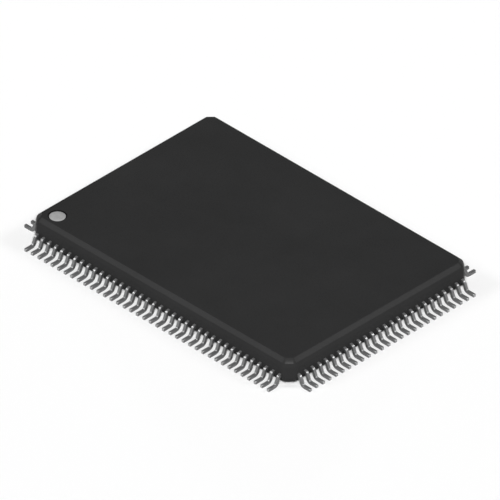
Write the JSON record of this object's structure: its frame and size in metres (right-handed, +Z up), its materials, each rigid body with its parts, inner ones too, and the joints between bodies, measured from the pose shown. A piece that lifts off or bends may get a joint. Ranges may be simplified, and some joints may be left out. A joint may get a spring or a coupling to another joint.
{
  "type": "quad flat package integrated circuit",
  "caption": "Flat rectangular black plastic chip package with bevelled edges, gull-wing leads along every side and a light pin-one mark, for soldering on a circuit board.",
  "frame": {"origin": "middle of the package on the seating plane, which the undersides of the lead feet lie on", "axes": "+X along the long side, away from the end with the pin one mark; +Y along the short side, away from the front row that starts at pin one; +Z up, out of the top face"},
  "size_m": [0.0218, 0.0158, 0.0016],
  "materials": {
    "mould_compound": "fine matt spark-eroded mould texture",
    "mark_ink": "matt ink",
    "tin_plate": "matt tin plating over a copper alloy",
    "frame_copper": "satin copper alloy sheet",
    "die_attach_epoxy": "silver-filled epoxy",
    "silicon": "polished silicon",
    "bond_gold": "drawn gold wire"
  },
  "bodies": {
    "root": {"mould_body": "mould_compound", "pin_one_mark": "mark_ink", "die_paddle": "frame_copper", "die_attach": "die_attach_epoxy", "silicon_die": "silicon", "front_leads": "tin_plate", "right_leads": "tin_plate", "rear_leads": "tin_plate", "left_leads": "tin_plate", "front_bond_wires": "bond_gold", "right_bond_wires": "bond_gold", "rear_bond_wires": "bond_gold", "left_bond_wires": "bond_gold"}
  },
  "joints": []
}
